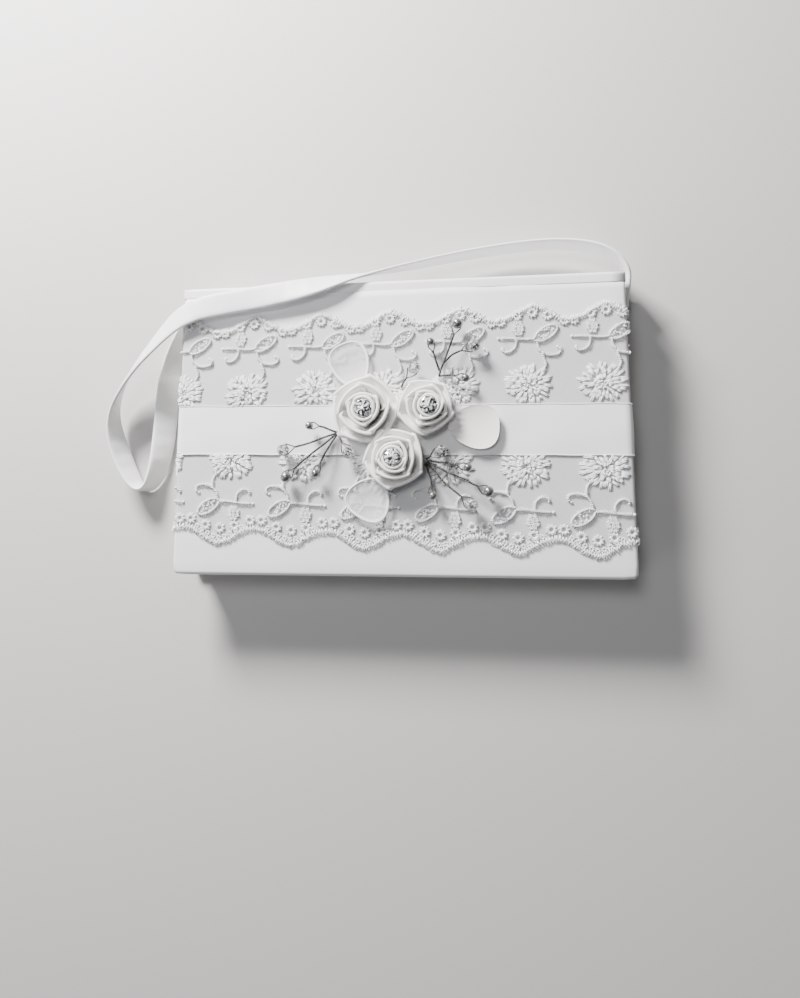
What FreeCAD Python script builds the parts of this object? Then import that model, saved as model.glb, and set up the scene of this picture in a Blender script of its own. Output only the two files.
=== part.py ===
"""Satin-covered prayer book with a carrying strap, lace, a ribbon band and a rose corsage.

Frame: +X along the book's long side, +Y from the fore edge towards the spine, +Z up out of the front cover.
The origin is the centre of the back cover's outer face, which lies on the table. Millimetres.
"""
import FreeCAD
import Part
import math
import os

from FreeCAD import Vector

# Book: driving dimensions
book_length = 184.0          # along the spine
book_width = 120.0           # fore edge to the outside of the spine
corner_radius = 2.5          # rounded corners at the fore edge
edge_radius = 1.2            # soft edge of the padded covers
satin = 0.4                  # satin with its backing
padding = 1.5                # wadding under the satin
board = 2.2                  # binder's board
endpaper = 0.2               # pastedowns and flyleaves
signature = 2.2              # one sewn section of leaves
signatures_per_half = 3
square = 3.0                 # how far the boards stand out past the leaves
leaf_gap = 0.2               # between the leaves and the front cover
split_gap = 0.6              # between the two halves, where the marker lies
joint_radius = 1.5           # the cloth joint bends round this radius
joint_gap = 0.4              # between the cover's edge and the spine
lining = 0.5                 # mull glued to the sewn edge
headband = 1.2

# Trimming
lace = 0.3
ribbon = 0.4
band_width = 20.0
band_centre_left = -1.3      # y of the band's middle at the left edge
band_centre_right = -3.4
scallop_depth = 5.4
upper_lace = {"middle_x": 9.7, "pitch": 28.6, "crest_left": 45.4, "crest_right": 45.4}
lower_lace = {"middle_x": 2.4, "pitch": 29.9, "crest_left": -47.6, "crest_right": -52.8}

# Corsage
felt = 0.5
rose_radius = 11.2
rose_centres = [(-11.6, 5.3), (14.3, 6.1), (0.2, -14.0)]
rose_tiers = [(1.0, 3.3), (0.77, 2.7), (0.48, 2.2)]   # share of the radius, height
stone_radius = 3.2
stone_crown = 1.1
stone_pavilion = 1.4
setting_wall = 0.4
wire_radius = 0.35
large_pearl = 2.15
small_pearl = 1.65
crystal_radius = 2.6

# Carrying strap: where its middle runs, and how far it leans from flat, in degrees
strap_width = 10.0
strap_thickness = 1.8
strap_route = [
    (94.3, 49.5, 4.9, -90), (95.0, 57.0, 9.0, -92), (94.3, 64.2, 13.0, -94),
    (87.6, 71.4, 14.2, -95), (75.4, 75.9, 12.0, -95), (59.8, 77.2, 10.5, -95),
    (40.9, 75.9, 9.5, -95), (21.6, 73.0, 10.5, -92), (3.8, 68.9, 13.5, -86),
    (-9.8, 65.2, 18.0, -74), (-21.7, 61.8, 23.0, -55), (-35.8, 57.8, 25.8, -25),
    (-52.8, 54.7, 26.4, -6), (-70.1, 52.3, 26.4, 0), (-83.3, 50.4, 26.3, -5),
    (-92.4, 46.9, 25.4, -18), (-100.3, 41.7, 22.5, -32), (-108.5, 35.3, 19.0, -44),
    (-116.8, 28.2, 15.5, -54), (-124.3, 19.6, 12.0, -64), (-128.9, 10.6, 9.5, -82),
    (-129.1, 0.9, 8.0, -105), (-125.8, -9.3, 6.8, -118), (-121.4, -19.0, 6.0, -112),
    (-116.5, -25.6, 5.6, -95), (-112.0, -24.4, 5.4, -80), (-108.9, -17.0, 5.1, -60),
    (-107.4, -7.1, 4.4, -42), (-106.9, 5.5, 3.8, -30), (-106.4, 19.0, 3.9, -32),
    (-104.4, 31.0, 4.6, -50), (-100.6, 41.4, 5.4, -66), (-96.6, 49.4, 5.6, -80),
    (-94.3, 56.0, 5.6, -90),
]

# Levels, from the table up
half_length = book_length / 2
fore_edge = -book_width / 2
spine_face = book_width / 2
joint_y = spine_face - joint_radius
cover_edge = joint_y - joint_radius
cover = satin + padding + board + endpaper
half_block = signatures_per_half * signature
lower_leaves = cover + endpaper
split_low = lower_leaves + half_block
split_high = split_low + split_gap
upper_end = split_high + half_block + endpaper
cover_low = upper_end + leaf_gap
book_top = cover_low + cover
sewn_edge = cover_edge - 2 * lining
leaf_half_length = half_length - square
leaf_fore_edge = fore_edge + square
spine_inside = cover_edge + joint_gap


def save(node, shape):
    """Write one sub-part under its node's name."""
    shape.exportStep("parts/" + node + ".step")


def block(x0, x1, y0, y1, z0, z1):
    return Part.makeBox(x1 - x0, y1 - y0, z1 - z0, Vector(x0, y0, z0))


def prism(points, z0, z1):
    """Upright prism on a closed outline of (x, y) points."""
    corners = [Vector(x, y, z0) for x, y in points]
    wire = Part.makePolygon(corners + corners[:1])
    return Part.Face(wire).extrude(Vector(0, 0, z1 - z0))


def cover_slab(inset, z_inner, z_outer, rounding):
    """One layer of a cover: rounded fore corners, and a soft edge round its outer face."""
    x = half_length - inset
    y0 = fore_edge + inset
    y1 = cover_edge - inset
    r = corner_radius - inset
    low = min(z_inner, z_outer)
    slab = block(-x, x, y0, y1, low, max(z_inner, z_outer))
    corners = [e for e in slab.Edges if vertical_at(e, y0)]
    slab = slab.makeFillet(r, corners)
    if rounding:
        rim = [e for e in slab.Edges if lies_at(e, z_outer) and e.CenterOfMass.y < y1 - 0.01]
        slab = slab.makeFillet(rounding, rim)
    return slab


def vertical_at(edge, y):
    a, b = edge.Vertexes
    return abs(a.Y - y) < 0.001 and abs(b.Y - y) < 0.001 and abs(a.Z - b.Z) > 0.001


def lies_at(edge, z):
    return all(abs(v.Z - z) < 0.001 for v in edge.Vertexes)


def long_edges_at(shape, y):
    """The edges along X on the face at y."""
    return [e for e in shape.Edges if abs(e.CenterOfMass.x) < 0.01 and abs(e.CenterOfMass.y - y) < 0.01]


def make_cover(side, z_inner, direction):
    """Satin, padding, board and pastedown of one cover, built outwards from its inner face."""
    z_outer = z_inner + direction * cover
    z_board = z_inner + direction * endpaper
    z_padding = z_board + direction * board
    z_satin = z_padding + direction * padding
    inner_rounding = edge_radius - satin
    hollow = cover_slab(satin, z_board, z_satin, inner_rounding)
    skin = cover_slab(0, z_board, z_outer, edge_radius).cut(hollow)
    save(side + "_cover_satin", skin)
    save(side + "_cover_padding", cover_slab(satin, z_padding, z_satin, inner_rounding))
    save(side + "_cover_board", cover_slab(satin, z_board, z_padding, 0))
    save(side + "_pastedown", cover_slab(square / 2, z_inner, z_board, 0))


def leaves(z0, z1):
    return block(-leaf_half_length, leaf_half_length, leaf_fore_edge, sewn_edge, z0, z1)


def make_signature(number, z0):
    """A section of folded leaves, round where it is folded and sewn."""
    body = leaves(z0, z0 + signature)
    save("signature_%d" % number, body.makeFillet(0.4 * signature, long_edges_at(body, sewn_edge)))


def make_half_block(half, z0, z_flyleaf, first_number):
    """Half of the sewn leaves with its flyleaf, spine lining and bands at head and tail."""
    for i in range(signatures_per_half):
        make_signature(first_number + i, z0 + i * signature)
    save(half + "_flyleaf", leaves(z_flyleaf, z_flyleaf + endpaper))
    x = leaf_half_length
    save(half + "_spine_lining", block(-x, x, sewn_edge, sewn_edge + lining, z0, z0 + half_block))
    band = block(x, x + headband, sewn_edge - headband, sewn_edge + lining, z0, z0 + half_block)
    save(half + "_headband", band)
    save(half + "_tailband", band.mirror(Vector(0, 0, 0), Vector(1, 0, 0)))


def make_marker():
    """Ribbon marker, tucked in at the opening from the head almost to the tail."""
    z = (split_low + split_high) / 2
    x = leaf_half_length
    save("ribbon_marker", block(-x + 7, x - 1, sewn_edge - 16, sewn_edge - 10, z - 0.1, z + 0.1))


def make_spine():
    """Spine board with a thin pad, in a satin skin with soft outer edges."""
    z0 = joint_radius - 0.2
    z1 = book_top - z0
    x = half_length
    skin = block(-x, x, spine_inside, spine_face, z0, z1)
    skin = skin.makeFillet(edge_radius, long_edges_at(skin, spine_face))
    hollow = block(-x + satin, x - satin, spine_inside, spine_face - satin, z0 + satin, z1 - satin)
    hollow = hollow.makeFillet(edge_radius - satin, long_edges_at(hollow, spine_face - satin))
    save("spine_satin", skin.cut(hollow))
    board_back = spine_inside + 0.6 * board
    stiff = block(-x, x, spine_inside, board_back, z0, z1)
    save("spine_board", hollow.common(stiff))
    save("spine_padding", hollow.cut(stiff))


def make_joint_cloth(side, z_axis, direction):
    """Satin that carries on from a cover's face round the joint to the spine; it bends as the cover turns."""
    outer = joint_radius
    inner = joint_radius - satin
    start = cover_edge + 0.02
    last_angle = 12.0            # the bend ends just short of the spine's own satin

    def point(y, out):
        return Vector(-half_length, y, z_axis + direction * out)

    def on_bend(radius, angle):
        a = math.radians(angle)
        return point(joint_y + radius * math.cos(a), radius * math.sin(a))

    def bend(radius):
        middle = (90.0 + last_angle) / 2
        return Part.Arc(on_bend(radius, 90.0), on_bend(radius, middle), on_bend(radius, last_angle)).toShape()

    edges = [
        Part.makeLine(point(start, outer), on_bend(outer, 90.0)),
        bend(outer),
        Part.makeLine(on_bend(outer, last_angle), on_bend(inner, last_angle)),
        bend(inner),
        Part.makeLine(on_bend(inner, 90.0), point(start, inner)),
        Part.makeLine(point(start, inner), point(start, outer)),
    ]
    profile = Part.Face(Part.Wire(Part.__sortEdges__(edges)))
    save(side + "_joint_cloth", profile.extrude(Vector(book_length, 0, 0)))


def band_centre(x):
    """y of the satin band's middle: the band lies very slightly askew."""
    share = (x + half_length) / book_length
    return band_centre_left + share * (band_centre_right - band_centre_left)


def make_lace(name, strip, outward):
    """Lace strip with a scalloped edge, from under the satin band outwards, turned down over both ends."""
    x_end = half_length + lace
    z0 = book_top
    slope = (strip["crest_right"] - strip["crest_left"]) / book_length

    def crest(x):
        return strip["crest_left"] + slope * (x + half_length)

    pitch = strip["pitch"]
    valleys = [strip["middle_x"] + pitch * (i - 3) for i in range(-1, 8)]
    edges = []
    for a, b in zip(valleys[:-1], valleys[1:]):
        middle = (a + b) / 2
        start = Vector(a, crest(a) - outward * scallop_depth, z0)
        top = Vector(middle, crest(middle), z0)
        end = Vector(b, crest(b) - outward * scallop_depth, z0)
        edges.append(Part.Arc(start, top, end).toShape())
    first = edges[0].Vertexes[0].Point
    last = edges[-1].Vertexes[-1].Point
    foot_first = Vector(first.x, band_centre_left, z0)
    foot_last = Vector(last.x, band_centre_right, z0)
    edges.append(Part.makeLine(last, foot_last))
    edges.append(Part.makeLine(foot_last, foot_first))
    edges.append(Part.makeLine(foot_first, first))
    sheet = Part.Face(Part.Wire(edges)).extrude(Vector(0, 0, lace))
    strip_solid = sheet.common(block(-x_end, x_end, fore_edge, spine_face, z0, z0 + lace))
    for sign in (-1, 1):
        near = band_centre(sign * half_length)
        far = crest(sign * half_length) - outward * scallop_depth
        x0, x1 = sorted((sign * half_length, sign * x_end))
        y0, y1 = sorted((near, far))
        strip_solid = strip_solid.fuse(block(x0, x1, y0, y1, cover_low + endpaper, z0 + lace))
    save(name, strip_solid.removeSplitter())


def make_satin_band():
    """Satin ribbon round the front cover, over the inner edges of both laces."""
    x_end = half_length + lace + ribbon
    z0 = book_top + lace
    h = band_width / 2
    left = band_centre(-half_length)
    right = band_centre(half_length)
    outline = [(-x_end, left - h), (x_end, right - h), (x_end, right + h), (-x_end, left + h)]
    band = prism(outline, z0, z0 + ribbon)
    low = cover_low + endpaper
    band = band.fuse(block(-x_end, -x_end + ribbon, left - h, left + h, low, z0 + ribbon))
    band = band.fuse(block(x_end - ribbon, x_end, right - h, right + h, low, z0 + ribbon))
    save("satin_band", band.removeSplitter())


corsage_z = book_top + lace + ribbon
rose_z = corsage_z + felt
rose_height = sum(h for share, h in rose_tiers)
stone_z = rose_z + rose_height


def make_corsage_base():
    """Felt patch that the roses are sewn to."""
    patch = prism(rose_centres, corsage_z, rose_z)
    for x, y in rose_centres:
        patch = patch.fuse(Part.makeCylinder(rose_radius - 1.2, felt, Vector(x, y, corsage_z)))
    save("corsage_base", patch.removeSplitter())


def make_rose(number, x, y):
    """Ribbon rose: three whorls of petals, each opening upwards."""
    z = rose_z
    rose = None
    for share, height in rose_tiers:
        r = share * rose_radius
        whorl = Part.makeCone(0.86 * r, r, height, Vector(x, y, z))
        rose = whorl if rose is None else rose.fuse(whorl)
        z += height
    save("rose_%d" % number, rose.removeSplitter())


def make_stones():
    """Rhinestones in low metal cups, one on each rose."""
    stones = []
    cups = []
    for x, y in rose_centres:
        at = Vector(x, y, stone_z)
        cup = Part.makeCylinder(stone_radius + setting_wall, stone_pavilion + 0.3, at)
        well = Part.makeCylinder(stone_radius + 0.05, stone_pavilion, at + Vector(0, 0, 0.3))
        cups.append(cup.cut(well))
        point = at + Vector(0, 0, 0.3)
        girdle = point + Vector(0, 0, stone_pavilion)
        pavilion = Part.makeCone(0.2, stone_radius, stone_pavilion, point)
        crown = Part.makeCone(stone_radius, 0.6 * stone_radius, stone_crown, girdle)
        stones.append(pavilion.fuse(crown))
    save("rhinestones", Part.makeCompound(stones))
    save("rhinestone_cups", Part.makeCompound(cups))


def make_loop(name, root, tip, width, height, z0, wall):
    """Flattened ribbon loop with a teardrop outline; root and tip are (x, y)."""
    dx = tip[0] - root[0]
    dy = tip[1] - root[1]
    length = math.hypot(dx, dy)
    half = height / 2
    outer = stadium(length, half, 0)
    inner = stadium(length, half, wall)
    ring = Part.Face(outer).cut(Part.Face(inner))
    tube = ring.extrude(Vector(0, width, 0))
    tube.translate(Vector(0, -width / 2, 0))
    w = width / 2
    shares = [(0, 0.25), (0.35, 0.85), (0.62, 1.0), (0.88, 0.62), (1.0, 0)]
    outline = [(a * length, -b * w) for a, b in shares]
    outline += [(x, -y) for x, y in reversed(outline[:-1])]
    loop = tube.common(prism(outline, 0, height))
    loop.rotate(Vector(0, 0, 0), Vector(0, 0, 1), math.degrees(math.atan2(dy, dx)))
    loop.translate(Vector(root[0], root[1], z0))
    save(name, loop)


def stadium(length, half, inset):
    """Long round-ended outline in the XZ plane."""
    r = half - inset
    a = half
    b = length - half
    edges = [
        Part.makeLine(Vector(a, 0, half - r), Vector(b, 0, half - r)),
        Part.Arc(Vector(b, 0, half - r), Vector(b + r, 0, half), Vector(b, 0, half + r)).toShape(),
        Part.makeLine(Vector(b, 0, half + r), Vector(a, 0, half + r)),
        Part.Arc(Vector(a, 0, half + r), Vector(a - r, 0, half), Vector(a, 0, half - r)).toShape(),
    ]
    return Part.Wire(edges)


# Sprays of beads on wire: (start, elbow, bead) for each wire; the kind says which bead it carries
wire_low = rose_z + 1.0
bead_level = book_top + 5.0
sprays = {
    "upper_right": [
        ((17.7, 18.6), (20.5, 25.5), (25.5, 39.4), "large"),
        ((20.0, 24.3), (23.5, 27.0), (31.9, 30.3), "crystal"),
        ((18.3, 20.0), (16.6, 25.0), (14.7, 32.3), "small"),
        ((18.0, 18.7), (22.5, 18.6), (28.5, 17.3), "small"),
        ((2.6, 14.4), (5.0, 18.0), (8.1, 21.9), "crystal"),
    ],
    "left": [
        ((-23.6, -3.2), (-29.0, -1.2), (-34.4, -0.6), "small"),
        ((-23.8, -3.6), (-34.0, -7.5), (-45.0, -10.3), "crystal"),
        ((-23.8, -3.8), (-33.5, -12.0), (-43.6, -21.2), "large"),
        ((-23.6, -4.2), (-28.0, -12.0), (-31.5, -19.8), "small"),
        ((-22.6, -4.6), (-21.0, -8.0), (-18.2, -11.6), "crystal"),
    ],
    "lower_right": [
        ((12.4, -14.4), (15.0, -13.0), (18.8, -11.4), "crystal"),
        ((12.8, -15.0), (20.0, -16.0), (28.9, -17.9), "small"),
        ((12.8, -15.4), (24.0, -21.0), (36.7, -27.2), "large"),
        ((12.2, -16.2), (14.2, -22.0), (15.3, -28.7), "small"),
        ((12.6, -15.8), (20.0, -24.0), (30.1, -32.2), "crystal"),
    ],
}
bead_radius = {"large": large_pearl, "small": small_pearl, "crystal": crystal_radius}


def rod(a, b):
    return Part.makeCylinder(wire_radius, (b - a).Length, a, b - a)


def make_wire(start, elbow, bead, kind):
    """One wire: up from the corsage, over an elbow, to the surface of its bead."""
    a = Vector(start[0], start[1], wire_low)
    b = Vector(elbow[0], elbow[1], (wire_low + bead_level) / 2 + 0.8)
    c = Vector(bead[0], bead[1], bead_level)
    reach = (c - b).normalize() * (bead_radius[kind] + 0.05)
    wire = rod(a, b).fuse(Part.makeSphere(wire_radius, b))
    return wire.fuse(rod(b, c - reach)).fuse(Part.makeSphere(wire_radius, a))


def make_crystal(centre):
    """Double-cone bead."""
    r = crystal_radius
    cap = 0.3 * r
    up = Part.makeCone(r, cap, 0.9 * r, centre, Vector(0, 0, 1))
    down = Part.makeCone(r, cap, 0.9 * r, centre, Vector(0, 0, -1))
    return up.fuse(down).removeSplitter()


def make_sprays():
    beads = {"large": [], "small": [], "crystal": []}
    for name, wires in sprays.items():
        spray = None
        for start, elbow, bead, kind in wires:
            wire = make_wire(start, elbow, bead, kind)
            spray = wire if spray is None else spray.fuse(wire)
            centre = Vector(bead[0], bead[1], bead_level)
            if kind == "crystal":
                beads[kind].append(make_crystal(centre))
            else:
                beads[kind].append(Part.makeSphere(bead_radius[kind], centre))
        save("wire_spray_" + name, spray)
    save("pearls_large", Part.makeCompound(beads["large"]))
    save("pearls_small", Part.makeCompound(beads["small"]))
    save("crystal_beads", Part.makeCompound(beads["crystal"]))


def strap_section(i):
    """Cross-section of the flat strap at one point of its route."""
    here = Vector(*strap_route[i][:3])
    before = Vector(*strap_route[max(i - 1, 0)][:3])
    after = Vector(*strap_route[min(i + 1, len(strap_route) - 1)][:3])
    along = (after - before).normalize()
    level = along.cross(Vector(0, 0, 1)).normalize()
    upright = level.cross(along)
    lean = math.radians(strap_route[i][3])
    across = level * math.cos(lean) + upright * math.sin(lean)
    normal = across.cross(along)
    w = across * (strap_width / 2)
    t = normal * (strap_thickness / 2)
    corners = [here + w + t, here - w + t, here - w - t, here + w - t]
    return Part.makePolygon(corners + corners[:1])


def make_strap():
    """Flat satin strap from the head end of the back cover, over the front cover's corner, to the tail end."""
    sections = [strap_section(i) for i in range(len(strap_route))]
    save("carrying_strap", Part.makeLoft(sections, True, True))


def make_strap_tab(name, sign):
    """Folded satin tab that holds one end of the strap on the end of the back cover, beside the joint."""
    x0, x1 = sorted((sign * half_length, sign * (half_length + 1.2)))
    save(name, block(x0, x1, cover_edge - 6.5, cover_edge - 0.6, 0.5, cover - 0.4))


os.makedirs("parts", exist_ok=True)
make_cover("back", cover, -1)
make_cover("front", cover_low, 1)
make_half_block("lower", lower_leaves, cover, 1)
make_half_block("upper", split_high, split_high + half_block, 1 + signatures_per_half)
make_marker()
make_spine()
make_joint_cloth("back", joint_radius, -1)
make_joint_cloth("front", book_top - joint_radius, 1)
make_lace("upper_lace", upper_lace, 1)
make_lace("lower_lace", lower_lace, -1)
make_satin_band()
make_corsage_base()
for index, (rose_x, rose_y) in enumerate(rose_centres):
    make_rose(index + 1, rose_x, rose_y)
make_stones()
make_loop("satin_loop_right", (25.9, -1.4), (41.4, -2.2), 18.5, 5.0, corsage_z + 0.3, 0.5)
make_loop("organza_loop_upper", (-15.6, 17.4), (-21.2, 32.8), 17.0, 4.0, corsage_z - 0.2, 0.4)
make_loop("organza_loop_lower", (-6.6, -25.2), (-14.0, -36.6), 18.0, 4.0, corsage_z + 0.3, 0.4)
make_sprays()
make_strap()
make_strap_tab("strap_tab_head", 1)
make_strap_tab("strap_tab_tail", -1)
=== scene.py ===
import bmesh
import bpy
import math
import random

from mathutils import Matrix, Vector


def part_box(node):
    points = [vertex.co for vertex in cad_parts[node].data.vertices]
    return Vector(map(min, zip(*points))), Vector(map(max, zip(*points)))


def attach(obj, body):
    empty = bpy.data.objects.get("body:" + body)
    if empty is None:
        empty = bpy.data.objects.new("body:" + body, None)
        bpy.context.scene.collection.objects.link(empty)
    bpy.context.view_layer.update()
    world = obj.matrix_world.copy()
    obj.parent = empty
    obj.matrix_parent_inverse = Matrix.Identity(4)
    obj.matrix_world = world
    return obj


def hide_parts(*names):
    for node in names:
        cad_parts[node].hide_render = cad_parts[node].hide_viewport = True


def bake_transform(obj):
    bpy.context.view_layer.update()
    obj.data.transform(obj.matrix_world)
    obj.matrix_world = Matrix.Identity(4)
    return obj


# Looks of a satin-covered prayer book. Lengths are in millimetres in the book's own frame:
# +X along the spine, +Y towards the spine, +Z out of the front cover.
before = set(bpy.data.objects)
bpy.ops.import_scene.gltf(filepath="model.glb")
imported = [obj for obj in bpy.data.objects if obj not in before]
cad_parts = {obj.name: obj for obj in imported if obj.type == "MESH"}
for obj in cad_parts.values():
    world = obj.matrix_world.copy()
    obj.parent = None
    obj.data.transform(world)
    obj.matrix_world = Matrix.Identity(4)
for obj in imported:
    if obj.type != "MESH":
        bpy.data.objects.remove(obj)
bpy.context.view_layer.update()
MM = 0.001
UP = Vector((0.0, 0.0, 1.0))


def node_box(node):
    """Lowest and highest corner of a CAD node, in millimetres."""
    low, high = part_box(node)
    return low / MM, high / MM


cover_low, cover_high = node_box("front_cover_satin")
half_length = cover_high.x
cover_top = cover_high.z
cover_underside = cover_low.z
fore_edge = cover_low.y
cover_back = cover_high.y
spine_low, spine_high = node_box("spine_satin")
spine_face = spine_high.y


# ---------------------------------------------------------------- camera, light, floor

FLOOR_REACH = 3.0             # metres from the middle of the floor to its edges
FLOOR_LEVEL = -0.0002         # metres, just under the table's level


def add_object(name, data):
    item = bpy.data.objects.new(name, data)
    bpy.context.scene.collection.objects.link(item)
    return item


def make_camera():
    data = bpy.data.cameras.new("camera")
    camera = add_object("camera", data)
    place = Vector((41.14, -33.50, 310.73))
    target = Vector((1.7, 10.2, 22.7))
    forward = (target - place).normalized()
    right = forward.cross(Vector((0, 1, 0))).normalized()
    above = right.cross(forward)
    matrix = Matrix([[right[i], above[i], -forward[i]] for i in range(3)]).to_4x4()
    matrix.translation = place * MM
    camera.matrix_world = matrix
    data.sensor_fit = "AUTO"
    data.sensor_width = 36.0
    data.lens = 26.24
    data.shift_y = -0.1002
    data.clip_start = 0.01
    data.clip_end = 20.0
    bpy.context.scene.camera = camera


def area_light(name, place, target, size, power, colour):
    """Rectangular light; its place, target and size are in metres."""
    data = bpy.data.lights.new(name, "AREA")
    data.shape = "RECTANGLE"
    data.size, data.size_y = size
    data.energy = power
    data.color = colour
    light = add_object(name, data)
    light.location = place
    light.rotation_mode = "QUATERNION"
    light.rotation_quaternion = (Vector(target) - Vector(place)).to_track_quat("-Z", "Y")


def make_studio():
    area_light("key", (-0.28, 0.48, 0.31), (-0.03, 0.02, 0.02), (0.20, 0.15), 19.0, (1.0, 0.985, 0.965))
    area_light("top", (-0.15, 0.25, 0.95), (0, 0, 0.02), (0.30, 0.30), 3.4, (0.97, 0.98, 1.0))
    area_light("fill", (-0.75, -0.30, 0.40), (0, 0, 0.02), (0.4, 0.25), 1.8, (0.95, 0.97, 1.0))
    world = bpy.data.worlds.new("studio")
    bpy.context.scene.world = world
    world.use_nodes = True
    background = world.node_tree.nodes["Background"]
    background.inputs["Color"].default_value = (0.60, 0.62, 0.65, 1)
    background.inputs["Strength"].default_value = 0.16


def make_floor():
    mesh = bpy.data.meshes.new("floor")
    s = FLOOR_REACH
    mesh.from_pydata([(-s, -s, 0), (s, -s, 0), (s, s, 0), (-s, s, 0)], [], [(0, 1, 2, 3)])
    floor = add_object("floor", mesh)
    floor.location.z = FLOOR_LEVEL
    mesh.materials.append(Look("floor_paper", (0.50, 0.49, 0.48), 0.8).material)


# ---------------------------------------------------------------- materials

NET_CELL = 0.60


class Look:
    """Principled material while it is being put together; sockets are named with _ for a space."""

    def __init__(self, name, colour, roughness, **sockets):
        self.material = bpy.data.materials.new(name)
        self.material.use_nodes = True
        self.tree = self.material.node_tree
        self.shader = self.tree.nodes["Principled BSDF"]
        self.colour = colour
        self.fill(self.shader, Base_Color=(*colour, 1), Roughness=roughness, **sockets)

    def plug(self, socket, value):
        """Sets one input, or links it where the value is another node's output."""
        if isinstance(value, bpy.types.NodeSocket):
            self.tree.links.new(value, socket)
        else:
            socket.default_value = value

    def fill(self, node, **sockets):
        for key, value in sockets.items():
            self.plug(node.inputs[key.replace("_", " ")], value)

    def add(self, kind, **sockets):
        node = self.tree.nodes.new("ShaderNode" + kind)
        self.fill(node, **sockets)
        return node

    def mapped(self, scale, turn=0.0):
        """Object coordinates stretched by scale (cycles per metre)."""
        place = self.add("TexCoord").outputs["Object"]
        return self.add("Mapping", Vector=place, Scale=scale, Rotation=(0, 0, turn)).outputs["Vector"]

    def noise(self, scale, detail):
        place = self.mapped(scale)
        return self.add("TexNoise", Vector=place, Scale=1.0, Detail=detail).outputs["Fac"]

    def wave(self, scale, distortion, turn=0.0):
        place = self.mapped(scale, turn)
        bands = self.add("TexWave", Vector=place, Scale=1.0, Distortion=distortion, Detail=1.0)
        return bands.outputs["Fac"]

    def maths(self, operation, a, b):
        node = self.add("Math")
        node.operation = operation
        self.plug(node.inputs[0], a)
        self.plug(node.inputs[1], b)
        return node.outputs[0]

    def tint(self, value, dark, light, low=0.3, high=0.7):
        """Colour that runs from dark to light with value."""
        ramp = self.add("ValToRGB", Fac=value)
        for stop, place, colour in zip(ramp.color_ramp.elements, (low, high), (dark, light)):
            stop.position = place
            stop.color = (*colour, 1)
        self.plug(self.shader.inputs["Base Color"], ramp.outputs["Color"])

    def shade(self, value, share):
        """Colour that runs with value from share of the material's own to all of it."""
        self.tint(value, tuple(share * c for c in self.colour), self.colour)

    def vary(self, name, value, low, high, start=0.0, end=1.0):
        """Carries a shader input from low to high as value goes from start to end."""
        span = self.add("MapRange", Value=value, From_Min=start, From_Max=end, To_Min=low, To_Max=high)
        self.plug(self.shader.inputs[name], span.outputs["Result"])

    def bump(self, value, distance_mm, strength):
        node = self.add("Bump", Height=value, Strength=strength, Distance=distance_mm * MM)
        self.plug(self.shader.inputs["Normal"], node.outputs["Normal"])


def make_satin(name, colour, roughness, pull):
    """Woven satin: fine floats along X, faint cross threads, cloudy sheen; pull is how slack it lies."""
    look = Look(name, colour, roughness, Sheen_Weight=0.25, Sheen_Roughness=0.4, Specular_IOR_Level=0.45)
    floats = look.noise((260, 2600, 1500), 4.0)
    cross = look.wave((500, 0, 0), 1.5)
    slack = look.noise((55, 70, 60), 2.0)
    height = look.maths("ADD", look.maths("MULTIPLY", floats, 0.10), look.maths("MULTIPLY", cross, 0.04))
    height = look.maths("ADD", height, look.maths("MULTIPLY", slack, pull))
    look.bump(height, 0.10, 0.55)
    look.shade(look.noise((28, 34, 30), 3.0), 0.955)
    look.vary("Roughness", floats, roughness - 0.05, roughness + 0.09)
    return look.material


def make_thread(name, colour, roughness):
    """Silky embroidery thread with the ridges of its plies."""
    look = Look(name, colour, roughness, Sheen_Weight=0.35, Sheen_Roughness=0.35, Specular_IOR_Level=0.5)
    plies = look.wave((2600, 2600, 2600), 1.2, 0.6)
    fibres = look.noise((3200, 3200, 3200), 2.0)
    look.bump(look.maths("ADD", plies, look.maths("MULTIPLY", fibres, 0.6)), 0.05, 0.5)
    look.shade(fibres, 0.93)
    return look.material


def make_net():
    """Fine hexagonal tulle: three crossing waves leave threads and holes."""
    # The net's dark grey colour is painted shade: white tulle made grey so that it darkens the white cover
    # between the raised threads.
    look = Look("lace_net", (0.36, 0.36, 0.375), 0.6, Sheen_Weight=0.1)
    turns = 2 * math.pi / (NET_CELL * MM)
    total = 0.0
    for k in range(3):
        angle = math.radians(60.0 * k + 15.0)
        dot = look.add("VectorMath")
        dot.operation = "DOT_PRODUCT"
        look.plug(dot.inputs[0], look.add("TexCoord").outputs["Object"])
        look.plug(dot.inputs[1], (turns * math.cos(angle), turns * math.sin(angle), 0))
        total = look.maths("ADD", total, look.maths("COSINE", dot.outputs["Value"], 0.0))
    look.vary("Alpha", total, 0.14, 0.40, 0.2, -0.9)
    return look.material


def make_organza():
    """Crisp sheer ribbon: mostly see-through, with a faint even weave."""
    look = Look("organza", (0.90, 0.91, 0.92), 0.32, Sheen_Weight=0.4, Sheen_Roughness=0.3)
    weave = look.maths("MAXIMUM", look.wave((900, 0, 0), 0.4), look.wave((0, 900, 0), 0.4))
    look.vary("Alpha", weave, 0.14, 0.40)
    look.bump(weave, 0.04, 0.4)
    return look.material


def make_plain(name, colour, roughness, grain, depth, dark, **sockets):
    """Simple grained material: paper, board, felt, cloth."""
    look = Look(name, colour, roughness, **sockets)
    fibres = look.noise(grain, 4.0)
    look.shade(fibres, dark)
    look.bump(fibres, depth, 0.6)
    look.vary("Roughness", fibres, roughness - 0.06, min(1.0, roughness + 0.08))
    return look.material


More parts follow.
